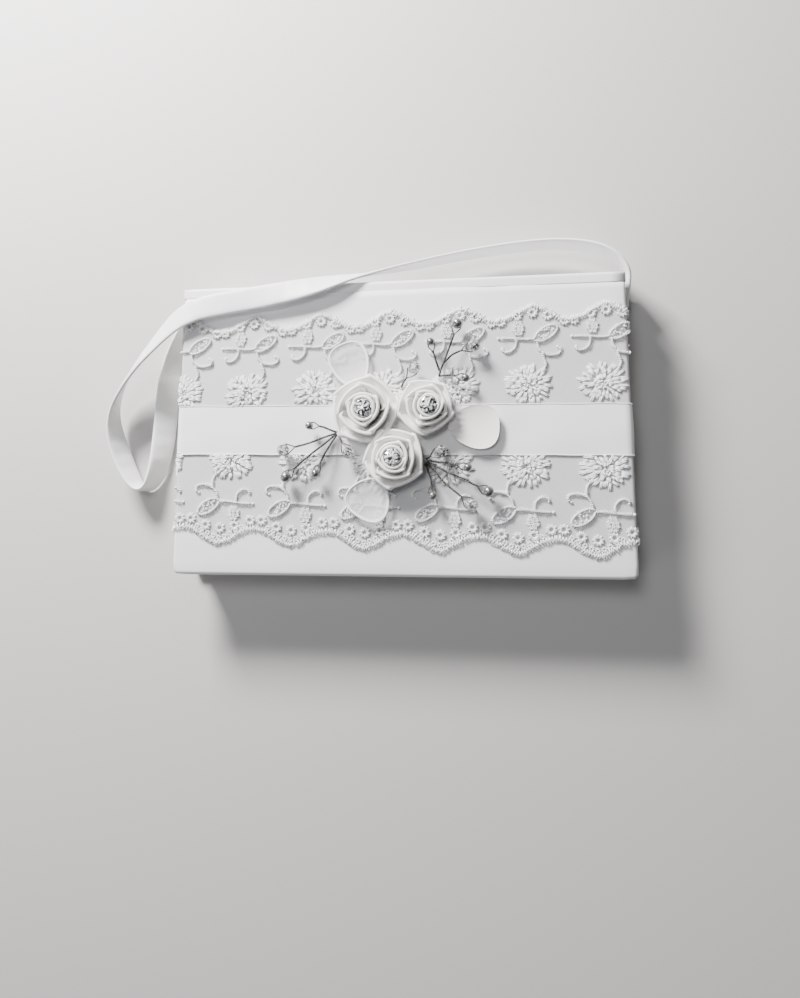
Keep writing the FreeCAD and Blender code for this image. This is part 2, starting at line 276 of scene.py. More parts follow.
cover_satin = make_satin("cover_satin", (0.80, 0.80, 0.81), 0.44, 1.0)
ribbon_satin = make_satin("ribbon_satin", (0.85, 0.85, 0.855), 0.36, 0.5)
strap_satin = make_satin("strap_satin", (0.83, 0.83, 0.84), 0.42, 1.2)
petal_satin = make_satin("petal_satin", (0.86, 0.845, 0.82), 0.38, 0.6)
lace_thread = make_thread("lace_thread", (0.97, 0.97, 0.97), 0.36)
selvage_thread = make_thread("selvage_thread", (0.90, 0.90, 0.90), 0.38)
lace_net = make_net()
organza = make_organza()
paper = make_plain("book_paper", (0.83, 0.80, 0.72), 0.85, (700, 900, 4000), 0.02, 0.93)
endpaper = make_plain("endpaper", (0.86, 0.85, 0.82), 0.75, (500, 500, 500), 0.02, 0.95)
board = make_plain("binders_board", (0.42, 0.38, 0.32), 0.9, (900, 900, 2500), 0.05, 0.75)
mull = make_plain("mull", (0.78, 0.76, 0.70), 0.9, (900, 900, 900), 0.08, 0.75)
headband_silk = make_plain("headband_silk", (0.84, 0.80, 0.72), 0.5, (200, 200, 2600), 0.12, 0.7)
felt = make_plain("felt", (0.82, 0.82, 0.81), 0.95, (1500, 1500, 1500), 0.1, 0.85, Sheen_Weight=0.4)


def make_hard_materials():
    # The pearls' dark grey colour is painted reflection: it stands in for dark surroundings mirrored in them,
    # which this pale studio lacks; the mottling within it is random tone.
    pearl = Look("pearl", (0.22, 0.215, 0.21), 0.20, Metallic=0.65, Coat_Weight=0.7, Coat_Roughness=0.05,
                 Sheen_Weight=0.1)
    pearl.tint(pearl.noise((260, 260, 260), 2.0), (0.15, 0.148, 0.145), (0.28, 0.275, 0.27))
    pearl.bump(pearl.noise((900, 900, 900), 2.0), 0.02, 0.25)
    # The crystal's colour is painted reflection: noise paints dark and bright specks on the clear glass for
    # the sparkle of its facets.
    crystal = Look("crystal", (0.97, 0.98, 1.0), 0.04, Transmission_Weight=0.70, IOR=1.58)
    crystal.tint(crystal.noise((1100, 1100, 1100), 1.0), (0.10, 0.10, 0.11), (1.0, 1.0, 1.0), 0.42, 0.56)
    # The rhinestone's colour is painted reflection: noise paints dark and bright glints over its facets.
    stone = Look("rhinestone", (0.9, 0.92, 0.95), 0.05, Metallic=0.45)
    stone.tint(stone.noise((900, 900, 300), 1.0), (0.06, 0.06, 0.065), (0.97, 0.98, 1.0), 0.43, 0.52)
    metal = Look("setting_metal", (0.62, 0.62, 0.63), 0.22, Metallic=1.0)
    metal.bump(metal.noise((1200, 1200, 1200), 2.0), 0.02, 0.3)
    # The wire's near-black colour is painted reflection: silver darkened to stand in for dark surroundings
    # mirrored in it; the mottling within it is random tone.
    wire = Look("silver_wire", (0.10, 0.10, 0.10), 0.38, Metallic=0.7)
    wire_mottle = wire.noise((700, 700, 700), 3.0)
    wire.tint(wire_mottle, (0.025, 0.024, 0.023), (0.13, 0.125, 0.12))
    wire.bump(wire_mottle, 0.02, 0.4)
    return [look.material for look in (pearl, crystal, stone, metal, wire)]


pearl, crystal, stone, cup_metal, wire_metal = make_hard_materials()


# ---------------------------------------------------------------- mesh helpers

def heading(path, k):
    """Unit vector along path at its point k."""
    return (Vector(path[min(k + 1, len(path) - 1)]) - Vector(path[max(k - 1, 0)])).normalized()


def circle(x, y, z, r, count, turn=0.0):
    """Points round a level circle; turn is a share of the step between two of them."""
    angles = [2 * math.pi * (k + turn) / count for k in range(count)]
    return [(x + r * math.cos(a), y + r * math.sin(a), z) for a in angles]

class Shape:
    """Points in millimetres and faces of one piece while it is being made."""

    def __init__(self):
        self.points = []
        self.faces = []

    def add(self, points, faces):
        first = len(self.points)
        self.points += [tuple(p) for p in points]
        self.faces += [tuple(first + i for i in face) for face in faces]

    def grid(self, rows, ring=False, capped=False):
        """Quads between rows of points; ring joins each row's end to its start, capped closes both ends."""
        n = len(rows[0])
        points = [p for row in rows for p in row]
        faces = []
        last = n if ring else n - 1
        for r in range(len(rows) - 1):
            for i in range(last):
                a = r * n + i
                b = r * n + (i + 1) % n
                faces.append((a, b, b + n, a + n))
        if capped:
            faces.append(tuple(range(n - 1, -1, -1)))
            faces.append(tuple((len(rows) - 1) * n + i for i in range(n)))
        self.add(points, faces)

    def tube(self, path, radius, sides, flat=1.0):
        """Tube along path; radius is a number or one number for each point."""
        rows = []
        for k in range(len(path)):
            ahead = heading(path, k)
            side = ahead.cross(UP)
            if side.length < 0.05:
                side = ahead.cross(Vector((0.3, 1, 0)))
            side.normalize()
            above = side.cross(ahead)
            r = radius if isinstance(radius, (int, float)) else radius[k]
            ring = []
            for i in range(sides):
                a = 2 * math.pi * i / sides
                ring.append(Vector(path[k]) + side * (r * math.cos(a)) + above * (r * flat * math.sin(a)))
            rows.append(ring)
        self.grid(rows, ring=True, capped=True)

    def ball(self, centre, radius, sides, rows, squash=1.0):
        rings = []
        for k in range(1, rows):
            a = math.pi * k / rows
            level = centre[2] + squash * radius * math.cos(a)
            rings.append(circle(centre[0], centre[1], level, radius * math.sin(a), sides))
        self.grid(rings, ring=True, capped=True)

    def facets(self, rings, shifts):
        """Flat facets between rings of corners; shifts says how far each ring is turned."""
        count = len(rings[0])
        faces = []
        for n in range(len(rings) - 1):
            lead = shifts[n + 1] - shifts[n]
            for k in range(count):
                a, b = n * count + k, n * count + (k + 1) % count
                c, d = a + count, b + count
                if lead > 0:
                    faces += [(a, b, c), (b, d, c)]
                elif lead < 0:
                    faces += [(a, b, d), (a, d, c)]
                else:
                    faces += [(a, b, d, c)]
        last = (len(rings) - 1) * count
        faces += [tuple(range(count - 1, -1, -1)), tuple(range(last, last + count))]
        self.add([p for ring in rings for p in ring], faces)


def make_piece(name, shape, material, body=None, replaced=(), smooth=True):
    mesh = bpy.data.meshes.new(name)
    mesh.from_pydata([(x * MM, y * MM, z * MM) for x, y, z in shape.points], [], shape.faces)
    mesh.polygons.foreach_set("use_smooth", [smooth] * len(mesh.polygons))
    mesh.materials.append(material)
    mesh.update()
    piece = add_object(name, mesh)
    if replaced:
        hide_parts(*replaced)
    if body:
        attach(piece, body)
    return piece


def nurbs_points(points):
    """Points along the smooth spline that has these as its control points."""
    steps = 8
    curve = bpy.data.curves.new("line", "CURVE")
    curve.dimensions = "3D"
    spline = curve.splines.new("NURBS")
    spline.points.add(len(points) - 1)
    for point, place in zip(spline.points, points):
        point.co = (*place, 1.0)
    spline.order_u = 3
    spline.use_endpoint_u = True
    spline.resolution_u = steps
    curve.resolution_u = steps
    holder = add_object("line", curve)
    bpy.context.view_layer.update()
    mesh = bpy.data.meshes.new_from_object(holder)
    found = [v.co.copy() for v in mesh.vertices]
    bpy.data.meshes.remove(mesh)
    bpy.data.objects.remove(holder)
    bpy.data.curves.remove(curve)
    return found


# ---------------------------------------------------------------- carrying strap

STRAP_WIDTH = 10.0
STRAP_THICKNESS = 1.9
STRAP_SIDES = 20
STRAP_LOWEST = 0.1            # keeps the strap clear of the table
# Where the strap's middle runs, in metres, and how far it leans from flat, in degrees
strap_route = [
    (0.0943, 0.0495, 0.0049, -90), (0.0950, 0.0570, 0.0090, -92), (0.0943, 0.0642, 0.0130, -94),
    (0.0876, 0.0714, 0.0142, -95), (0.0754, 0.0759, 0.0120, -95), (0.0598, 0.0772, 0.0105, -95),
    (0.0409, 0.0759, 0.0095, -95), (0.0216, 0.0730, 0.0105, -92), (0.0038, 0.0689, 0.0135, -86),
    (-0.0098, 0.0652, 0.0180, -74), (-0.0217, 0.0618, 0.0230, -55), (-0.0358, 0.0578, 0.0258, -25),
    (-0.0528, 0.0547, 0.0264, -6), (-0.0701, 0.0523, 0.0264, 0), (-0.0833, 0.0504, 0.0263, -5),
    (-0.0924, 0.0469, 0.0254, -18), (-0.1003, 0.0417, 0.0225, -32), (-0.1085, 0.0353, 0.0190, -44),
    (-0.1168, 0.0282, 0.0155, -54), (-0.1243, 0.0196, 0.0120, -64), (-0.1289, 0.0106, 0.0095, -82),
    (-0.1291, 0.0009, 0.0080, -105), (-0.1258, -0.0093, 0.0068, -118), (-0.1214, -0.0190, 0.0060, -112),
    (-0.1165, -0.0256, 0.0056, -95), (-0.1120, -0.0244, 0.0054, -80), (-0.1089, -0.0170, 0.0051, -60),
    (-0.1074, -0.0071, 0.0044, -42), (-0.1069, 0.0055, 0.0038, -30), (-0.1064, 0.0190, 0.0039, -32),
    (-0.1044, 0.0310, 0.0046, -50), (-0.1006, 0.0414, 0.0054, -66), (-0.0966, 0.0494, 0.0056, -80),
    (-0.0943, 0.0560, 0.0056, -90),
]


def strap_ring(here, along, lean, distance):
    """Cross-section of the strap: a flat tube of satin, fuller at its turned edges."""
    level = along.cross(UP).normalized()
    upright = level.cross(along)
    across = level * math.cos(lean) + upright * math.sin(lean)
    normal = across.cross(along)
    ripple = 0.16 * math.sin(distance * 0.9) + 0.12 * math.sin(distance * 0.37 + 1.3)
    ring = []
    for i in range(STRAP_SIDES):
        a = 2 * math.pi * i / STRAP_SIDES
        c, s = math.cos(a), math.sin(a)
        u = math.copysign(abs(c) ** 0.55, c)
        v = math.copysign(abs(s) ** 0.75, s)
        fullness = 0.80 + 0.20 * u * u
        sway = ripple * (1 - u * u) * 0.6
        thick = v * fullness * STRAP_THICKNESS / 2 + sway
        ring.append(here + across * (u * STRAP_WIDTH / 2) + normal * thick)
    return ring


def make_strap():
    """Limp satin strap along its route, sewn to the back cover at both ends."""
    centre = [p / MM for p in nurbs_points([p[:3] for p in strap_route])]
    leans = [p.x for p in nurbs_points([(p[3], i, 0) for i, p in enumerate(strap_route)])]
    rows = []
    distance = 0.0
    for k, here in enumerate(centre):
        if k:
            distance += (here - centre[k - 1]).length
        ring = strap_ring(here, heading(centre, k), math.radians(leans[k]), distance)
        rows.append([(p.x, p.y, max(p.z, STRAP_LOWEST)) for p in ring])
    shape = Shape()
    shape.grid(rows, ring=True, capped=True)
    strap = make_piece("strap", shape, strap_satin, replaced=["carrying_strap"])
    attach(strap, "back_cover")


make_camera()
make_strap()
make_studio()
make_floor()


# ---------------------------------------------------------------- padded covers

EDGE = 1.5            # roundness of the padded covers' outer edge
CORNER = 2.5          # roundness of the fore corners in plan
CROWN = 0.40          # how far the wadding swells the front cover
JOINT_REACH = 1.5     # radius of the satin round a joint
JOINT_LAP = 1.6       # how far the joint's satin laps over the cover
JOINT_CLOTH = 0.4     # its thickness
SPINE_ROUND = 1.2     # roundness of the spine's long edges


def crown(x, y):
    """Height of the padded front cover above its plain level."""
    middle = (fore_edge + cover_back) / 2
    half = (cover_back - fore_edge) / 2
    a = max(0.0, 1 - (x / half_length) ** 4)
    b = max(0.0, 1 - ((y - middle) / half) ** 4)
    slack = 0.06 * math.sin(0.09 * x + 0.7) * math.sin(0.13 * y + 0.4) + 0.04 * math.sin(0.21 * x - 0.17 * y)
    return (CROWN + slack) * a * b


def on_cover(x, y, h):
    """Point h above the front cover's satin; x past the side edge runs round it and down the side."""
    flat = half_length - EDGE
    s = abs(x) - flat
    if s <= 0:
        return (x, y, cover_top + crown(x, y) + h)
    sign = math.copysign(1, x)
    bend = EDGE * math.pi / 2
    if s < bend:
        a = s / EDGE
        out = flat + (EDGE + h) * math.sin(a)
        z = cover_top - EDGE + (EDGE + h) * math.cos(a) + crown(min(abs(x), half_length), y)
        return (sign * out, y, z)
    return (sign * (half_length + h), y, cover_top - EDGE - (s - bend))


def spaced(low, high, step):
    count = max(1, round((high - low) / step))
    return [low + (high - low) * i / count for i in range(count + 1)]


def make_cover(side, outer, inner, body, swell):
    """Padded satin of one cover: crowned face, soft edges, turned in round the board."""
    down = 1.0 if outer > inner else -1.0
    rim = [EDGE * (1 - math.sin(math.radians(a))) for a in (90, 75, 60, 45, 30, 15)]
    edge_x = [-half_length + d for d in rim]
    xs = edge_x + spaced(-half_length + EDGE, half_length - EDGE, 4.0) + [-x for x in reversed(edge_x)]
    ys = [fore_edge + d for d in rim] + spaced(fore_edge + EDGE, cover_back, 4.0)
    rows = []
    for y in ys:
        row = []
        for x in xs:
            ex = max(0.0, EDGE - (half_length - abs(x)))
            ey = max(0.0, EDGE - (y - fore_edge))
            e = min(EDGE, math.hypot(ex, ey))
            drop = EDGE - math.sqrt(EDGE * EDGE - e * e)
            px, py = round_corner(x, y)
            z = outer - down * drop + (crown(x, y) if swell else 0.0)
            row.append((px, py, z))
        rows.append(row)
    shape = Shape()
    shape.grid(rows)
    width = len(xs)
    height = len(ys)
    loop = [(0, i) for i in range(width)] + [(j, width - 1) for j in range(1, height)]
    loop += [(height - 1, i) for i in range(width - 2, -1, -1)] + [(j, 0) for j in range(height - 2, 0, -1)]
    rim_points = [rows[j][i] for j, i in loop]
    turned = [(0.10, 0.35), (0.10, 0.7), (0.0, 0.93), (-0.15, 1.0), (-0.7, 1.0), (-1.4, 1.0), (-1.45, 0.8)]
    low = inner - down * 0.05
    loops = [rim_points]
    for out, share in turned:
        ring = []
        for x, y, z in rim_points:
            nx = math.copysign(1, x) if abs(x) > half_length - CORNER - 0.01 else 0.0
            ny = -1.0 if y < fore_edge + CORNER + 0.01 else (1.0 if y > cover_back - 0.01 else 0.0)
            size = math.hypot(nx, ny) or 1.0
            grow = out if ny <= 0 else min(out, 0.0)
            ring.append((x + grow * nx / size, y + grow * ny / size, z + (low - z) * share))
        loops.append(ring)
    skirt = Shape()
    skirt.grid(loops, ring=True)
    last = (len(loops) - 1) * len(rim_points)
    skirt.faces.append(tuple(last + i for i in range(len(rim_points))))
    shape.add(skirt.points, skirt.faces)
    nodes = [side + "_cover_satin", side + "_cover_padding"]
    piece = make_piece(side + "_cover_cloth", shape, cover_satin, body, nodes)
    weld(piece)


def round_corner(x, y):
    """Carries a square fore corner onto a round one."""
    a = (abs(x) - (half_length - CORNER)) / CORNER
    b = ((fore_edge + CORNER) - y) / CORNER
    if a <= 0 or b <= 0:
        return x, y
    shrink = max(a, b) / math.hypot(a, b)
    px = half_length - CORNER + CORNER * a * shrink
    py = fore_edge + CORNER - CORNER * b * shrink
    return math.copysign(px, x), py


def weld(piece):
    """Joins points that lie on each other and makes the faces look outwards."""
    mesh = bmesh.new()
    mesh.from_mesh(piece.data)
    bmesh.ops.remove_doubles(mesh, verts=mesh.verts, dist=0.00001)
    bmesh.ops.recalc_face_normals(mesh, faces=mesh.faces)
    mesh.to_mesh(piece.data)
    mesh.free()


def sweep_x(shape, profile, x0, x1, softness, step=6.0):
    """Closed (y, z) profile carried along X, drawn in a little at both ends."""
    y_low, y_high = min(y for y, z in profile), max(y for y, z in profile)
    z_low, z_high = min(z for y, z in profile), max(z for y, z in profile)
    cy, hy = (y_low + y_high) / 2, (y_high - y_low) / 2
    cz, hz = (z_low + z_high) / 2, (z_high - z_low) / 2
    ends = [softness * (1 - math.cos(math.radians(a))) for a in (0, 30, 60, 90)] if softness else [0.0]
    middle = spaced(x0 + softness, x1 - softness, step)[1:-1]
    xs = [x0 + e for e in ends] + middle + [x1 - e for e in reversed(ends)]
    rows = []
    for x in xs:
        e = min(x - x0, x1 - x)
        inset = softness - math.sqrt(max(0.0, softness ** 2 - (softness - e) ** 2)) if e < softness else 0.0
        sy = max(0.2, 1 - inset / hy)
        sz = max(0.2, 1 - inset / hz)
        rows.append([(x, cy + (y - cy) * sy, cz + (z - cz) * sz) for y, z in profile])
    shape.grid(rows, ring=True, capped=True)


def arc(cy, cz, radius, start, end, steps):
    """(y, z) points on an arc, angles in degrees from +Y towards +Z."""
    found = []
    for i in range(steps + 1):
        a = math.radians(start + (end - start) * i / steps)
        found.append((cy + radius * math.cos(a), cz + radius * math.sin(a)))
    return found


def make_spine():
    inside = spine_low.y
    low, high = spine_low.z, spine_high.z
    r = SPINE_ROUND
    face = [(inside, low), *arc(spine_face - r, low + r, r, -90, 0, 5)]
    face += [(spine_face, low + r + (high - low - 2 * r) * k / 6) for k in range(1, 6)]
    face += [*arc(spine_face - r, high - r, r, 0, 90, 5), (inside, high)]
    shape = Shape()
    sweep_x(shape, face, -half_length, half_length, 0.5)
    replaced = ["spine_satin", "spine_padding"]
    weld(make_piece("spine_cloth", shape, cover_satin, "spine", replaced))


def make_joint(side, axis_z, direction, order):
    """Satin that carries on from a cover's face round the joint and down the spine."""
    radius = JOINT_REACH + (0.03 if side == "front" else 0.0)
    outer = [(cover_back - JOINT_LAP + JOINT_LAP * k / 3, radius) for k in range(4)]
    outer += arc(spine_face - JOINT_REACH, 0.0, radius, 90, 0, 10)
    outer += [(spine_face + 0.03, -0.6), (spine_face + 0.03, -1.2), (spine_face + 0.01, -1.8)]
    inner = []
    for k, (y, z) in enumerate(outer):
        ahead = outer[min(k + 1, len(outer) - 1)]
        back = outer[max(k - 1, 0)]
        dy, dz = ahead[0] - back[0], ahead[1] - back[1]
        size = math.hypot(dy, dz)
        t = JOINT_CLOTH * (0.25 if k in (0, len(outer) - 1) else 1.0)
        inner.append((y + dz / size * t, z - dy / size * t))
    profile = [(y, axis_z + direction * z) for y, z in outer + list(reversed(inner))]
    shape = Shape()
    sweep_x(shape, profile, -half_length - 0.05, half_length + 0.05, 0.0)
    piece = make_piece(side + "_joint", shape, cover_satin, None, [side + "_joint_cloth"])
    weld(piece)
    if order == "spine first":
        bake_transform(piece)
    else:
        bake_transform(piece)


back_low, back_high = node_box("back_cover_satin")
make_cover("front", cover_top, cover_underside, "front_cover", True)
make_cover("back", back_low.z, back_high.z, "back_cover", False)
make_spine()
make_joint("front", cover_top - JOINT_REACH, 1, "spine first")
make_joint("back", JOINT_REACH, -1, "cover first")


# ---------------------------------------------------------------- leaves

LEAVES = 11           # thin leaves in each sewn section


def make_leaves():
    """Each sewn section is a stack of thin leaves that don't quite line up."""
    chance = random.Random(5)
    for number in range(1, 7):
        node = "signature_%d" % number
        low, high = node_box(node)
        body = "back_cover" if number <= 3 else "upper_leaves"
        shape = Shape()
        pitch = (high.z - low.z) / LEAVES
        for k in range(LEAVES):
            round_back = 0.55 * (2 * (k + 0.5) / LEAVES - 1) ** 2
            x0 = low.x + chance.uniform(0.0, 0.22)
            x1 = high.x - chance.uniform(0.0, 0.22)
            y0 = low.y + chance.uniform(0.0, 0.30)
            y1 = high.y - round_back
            z0 = low.z + k * pitch
            z1 = z0 + pitch * 0.82
            rows = []
            for x in spaced(x0, x1, 22.0):
                lift = 0.02 * math.sin(0.11 * x + k)
                rows.append([(x, y0, z0 + lift + 0.02), (x, y1, z0 + 0.02), (x, y1, z1), (x, y0, z1 + lift)])
            shape.grid(rows, ring=True, capped=True)
        make_piece("leaves_%d" % number, shape, paper, body, [node], smooth=False)


def make_marker():
    low, high = node_box("ribbon_marker")
    shape = Shape()
    rows = []
    z = (low.z + high.z) / 2
    for x in spaced(low.x, high.x, 3.0):
        row = []
        for k in range(7):
            share = k / 6
            y = low.y + (high.y - low.y) * share
            notch = 3.0 * (1 - abs(2 * share - 1)) if x == low.x else 0.0
            row.append((x + notch, y, z + 0.04 * math.sin(0.3 * x) + (0.05 if k in (0, 6) else 0.0)))
        rows.append(row)
    under = [[(x, y, z - 0.09) for x, y, z in row] for row in rows]
    closed = [row + list(reversed(low_row)) for row, low_row in zip(rows, under)]
    shape.grid(closed, ring=True, capped=True)
    make_piece("marker", shape, ribbon_satin, "back_cover", ["ribbon_marker"])


make_leaves()
make_marker()
carried_over = {
    "front_cover_board": board, "back_cover_board": board, "spine_board": board,
    "front_pastedown": endpaper, "back_pastedown": endpaper,
    "lower_flyleaf": endpaper, "upper_flyleaf": endpaper,
    "lower_spine_lining": mull, "upper_spine_lining": mull,
    "lower_headband": headband_silk, "upper_headband": headband_silk,
    "lower_tailband": headband_silk, "upper_tailband": headband_silk,
}
for node, material in carried_over.items():
    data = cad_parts[node].data
    data.materials.clear()
    data.materials.append(material)


# ---------------------------------------------------------------- lace

BAND_WIDTH = 20.0
band_left = -1.3              # y of the band's middle at the left side
band_right = -3.4
SIDE_REACH = half_length - EDGE + EDGE * math.pi / 2 + (cover_top - EDGE - cover_underside) - 0.1
SCALLOP = 6.0
STITCH_STEPS = 4
NET_LEVEL = 0.10
THREAD_LEVEL = 0.16
# Each strip: the side of the band it is on, x of a notch between scallops, the repeat, its crest's y at the
# left and at the right, the daisy's middle in the motif, and how far in the inner work is shifted
upper_strip = {"side": 1, "middle": 12.3, "pitch": 28.8, "left": 46.6, "right": 47.9, "daisy": (2.7, 35.7),
               "inset": -3.0}
lower_strip = {"side": -1, "middle": 2.4, "pitch": 29.9, "left": -47.6, "right": -52.8, "daisy": (4.0, 34.3),
               "inset": 0.0}


def band_middle(x):
    share = (x + half_length) / (2 * half_length)
    return band_left + share * (band_right - band_left)


def crest_line(strip, x):
    share = (x + half_length) / (2 * half_length)
    return strip["left"] + share * (strip["right"] - strip["left"])


def scallop(strip, x):
    """How far the lace's edge lies in from its crest line at motif coordinate x."""
    turn = 2 * math.pi * x / strip["pitch"]
    return SCALLOP * (0.5 - 0.5 * math.cos(turn)) ** 0.85


class Motif:
    """One repeat of the lace; a and b in the motif are along the strip and inwards from the crest."""

    def __init__(self, shape, strip, centre, chance):
        self.shape = shape
        self.strip = strip
        self.centre = centre
        self.chance = chance
        self.inset = 0.0

    def place(self, a, b, h):
        """Point h above the cover at (a, b) of the motif, or None under the band and past the turn-in."""
        side = self.strip["side"]
        x = self.centre - side * a
        y = crest_line(self.strip, x) - side * (b + self.inset)
        inside = side * (y - band_middle(x)) > BAND_WIDTH / 2 - 0.8
        if abs(x) > SIDE_REACH - 0.4 or not inside:
            return None
        return Vector(on_cover(x, y, h))

    def stitch(self, start, end, radius, lift):
        """Thread between two motif points, arched by lift and thinner at both ends."""
        path = []
        for k in range(STITCH_STEPS + 1):
            t = k / STITCH_STEPS
            a = start[0] + (end[0] - start[0]) * t
            b = start[1] + (end[1] - start[1]) * t
            at = self.place(a, b, THREAD_LEVEL + lift * 4 * t * (1 - t))
            if at is None:
                return
            path.append(at)
        thin = radius * 0.55
        self.shape.tube(path, [thin, *[radius] * (STITCH_STEPS - 1), thin], 5, flat=0.8)

    def bundle(self, start, end, width, lift):
        """A thick satin stitch: two threads side by side that spread towards the end."""
        dx, dy = end[0] - start[0], end[1] - start[1]
        size = math.hypot(dx, dy)
        nx, ny = -dy / size, dx / size
        for off in (-width / 2, width / 2):
            jit = self.chance.uniform(-0.28, 0.28)
            a = (start[0] + nx * off * 0.6, start[1] + ny * off * 0.6)
            b = (end[0] + nx * off + dx / size * jit, end[1] + ny * off + dy / size * jit)
            self.stitch(a, b, 0.27, lift * 0.65)

    def ring(self, a, b, inner, outer, count):
        """Eyelet: stitches set round a hole."""
        turn = self.chance.uniform(0, 1)
        for k in range(count):
            angle = 2 * math.pi * (k + turn) / count
            r = outer + self.chance.uniform(-0.12, 0.2)
            c, s = math.cos(angle), math.sin(angle)
            c2, s2 = math.cos(angle + 0.25), math.sin(angle + 0.25)
            self.stitch((a + inner * c, b + inner * s), (a + r * c2, b + r * s2), 0.25, 0.55)

    def knot(self, a, b, radius):
        at = self.place(a, b, THREAD_LEVEL + radius * 0.35)
        if at is not None:
            self.shape.ball(at, radius, 8, 5, 0.75)

    def stem(self, points):
        """Embroidered line: a laid thread with slanting stitches worked over it."""
        line = smooth_line(points, 0.80)
        path = []
        for a, b in line:
            at = self.place(a, b, THREAD_LEVEL + 0.12)
            if at is None:
                break
            path.append(at)
        if len(path) > 2:
            self.shape.tube(path, 0.17, 5)
        for k in range(len(line) - 1):
            (a, b), (a2, b2) = line[k], line[k + 1]
            dx, dy = a2 - a, b2 - b
            size = math.hypot(dx, dy) or 1.0
            wide = self.chance.uniform(0.35, 0.85)
            nx, ny = -dy / size * wide, dx / size * wide
            self.stitch((a - nx, b - ny), (a2 + nx, b2 + ny), 0.25, self.chance.uniform(0.55, 1.0))

    def border(self):
        """Spiky satin-stitch cord along the scalloped edge, with stray longer stitches."""
        pitch = self.strip["pitch"]
        a = -pitch / 2
        turn = 0
        while a < pitch / 2:
            y = scallop(self.strip, a)
            slope = (scallop(self.strip, a + 0.1) - scallop(self.strip, a - 0.1)) / 0.2
            size = math.hypot(1, slope)
            nx, ny = -slope / size, 1 / size
            spike = self.chance.uniform(-0.7, 0.5)
            slant = 0.45 if turn % 2 else -0.25
            wide = 2.1 + self.chance.uniform(-0.5, 0.6)
            start = (a + nx * spike - slant, y + ny * spike)
            end = (a + nx * wide + slant, y + ny * wide)
            self.stitch(start, end, 0.24, 0.75 + self.chance.uniform(-0.2, 0.25))
            a += 0.52 / size
            turn += 1

    def loops(self):
        """Row of small loops between the border and the eyelets at the crest."""
        for k in range(-4, 5):
            a = 2.35 * k
            b = scallop(self.strip, a) + 3.0
            self.ring(a, b, 0.30, 1.05, 8)

    def eyelets(self):
        for a, b in ((-12.2, 10.4), (-5.8, 7.9), (0.3, 6.8), (6.4, 7.9), (12.9, 10.2)):
            self.ring(a, b, 0.68, 1.95, 15)
            self.ring(a, b, 1.25, 2.25, 9)

    def grapes(self):
        """Cluster of knots that hangs from the stem."""
        for row, count in enumerate((2, 3, 3, 2)):
            for k in range(count):
                a = 6.0 + 1.55 * (k - (count - 1) / 2) + self.chance.uniform(-0.15, 0.15)
                self.ring(a, 10.8 + 1.45 * row, 0.25, 0.85, 5)
                self.knot(a, 10.8 + 1.45 * row, 0.5)

    def leaf(self):
        """Oval leaf: a corded outline filled with short dotted stitches."""
        start, end, half = Vector((-9.2, 12.6)), Vector((-0.6, 18.0)), 2.3
        along = (end - start).normalized()
        across = Vector((-along.y, along.x))
        middle = (start + end) / 2
        reach = (end - start).length / 2
        outline = []
        for k in range(17):
            angle = 2 * math.pi * k / 16
            offset = along * (reach * math.cos(angle)) + across * (half * math.sin(angle))
            outline.append(tuple(middle + offset))
        self.stem(outline)
        for k in range(26):
            i, j = self.chance.uniform(-0.8, 0.8), self.chance.uniform(-0.8, 0.8)
            if i * i + j * j < 0.62:
                p = middle + along * (i * reach) + across * (j * half)
                turn = self.chance.uniform(0, 3.1)
                q = Vector((0.55 * math.cos(turn), 0.55 * math.sin(turn)))
                self.stitch(tuple(p - q), tuple(p + q), 0.25, 0.55)

    def stems(self):
        self.stem([(-0.6, 17.4), (3.0, 17.6), (8.0, 17.1), (13.7, 16.9)])
        self.knot(13.9, 16.9, 0.65)
        self.stem([(-1.1, 18.2), (-1.9, 21.4), (-4.0, 23.5), (-7.0, 24.2), (-9.9, 23.6), (-10.4, 21.8),
                   (-9.2, 20.9)])
        self.knot(-9.2, 20.9, 0.55)
        self.stem([(6.9, 17.6), (7.2, 20.4), (9.4, 22.4), (11.8, 22.4), (12.7, 21.0)])
        self.knot(12.4, 21.0, 0.55)
        a, b = self.strip["daisy"]
        self.stem([(-3.4, 22.6), (-3.4, 24.6), (a - 7.2, b - 7.6), (a - 5.4, b - 4.6)])
        for k in range(4):
            self.bundle((-3.0 - 0.8 * k, 22.9 + 0.2 * k), (-3.6 - 0.8 * k, 24.4 + 0.1 * k), 0.5, 0.3)

    def daisy(self):
        """Full round flower: three rings of thick satin stitches round a knotted heart."""
        a, b = self.strip["daisy"]
        rings = [(38, 6.0, 9.7, 0.62, 0.75), (30, 3.6, 7.6, 0.62, 1.0), (18, 1.4, 5.2, 0.60, 1.2)]
        for count, inner, outer, width, lift in rings:
            for k in range(count):
                angle = 2 * math.pi * (k + self.chance.uniform(-0.4, 0.4)) / count
                near = inner + self.chance.uniform(-1.0, 1.0)
                far = outer + self.chance.uniform(-1.5, 0.6)
                c, s = math.cos(angle), 0.86 * math.sin(angle)
                lean = self.chance.uniform(-0.20, 0.20)
                c2, s2 = math.cos(angle + lean), 0.86 * math.sin(angle + lean)
                self.bundle((a + near * c, b + near * s), (a + far * c2, b + far * s2), width, lift)
        for k in range(22):
            turn = self.chance.uniform(0, 6.28)
            r = 3.2 * math.sqrt(self.chance.random())
            p = (a + r * math.cos(turn), b + r * math.sin(turn))
            turn = self.chance.uniform(0, 3.14)
            q = (0.8 * math.cos(turn), 0.8 * math.sin(turn))
            self.stitch((p[0] - q[0], p[1] - q[1]), (p[0] + q[0], p[1] + q[1]), 0.28, 1.1)

    def make(self):
        """The border and its loops follow the crest; the rest is shifted in by the strip's inset."""
        self.border()
        if self.strip is lower_strip:
            self.loops()
        self.inset = self.strip["inset"]
        self.eyelets()
        self.grapes()
        self.leaf()
        self.stems()
        self.daisy()


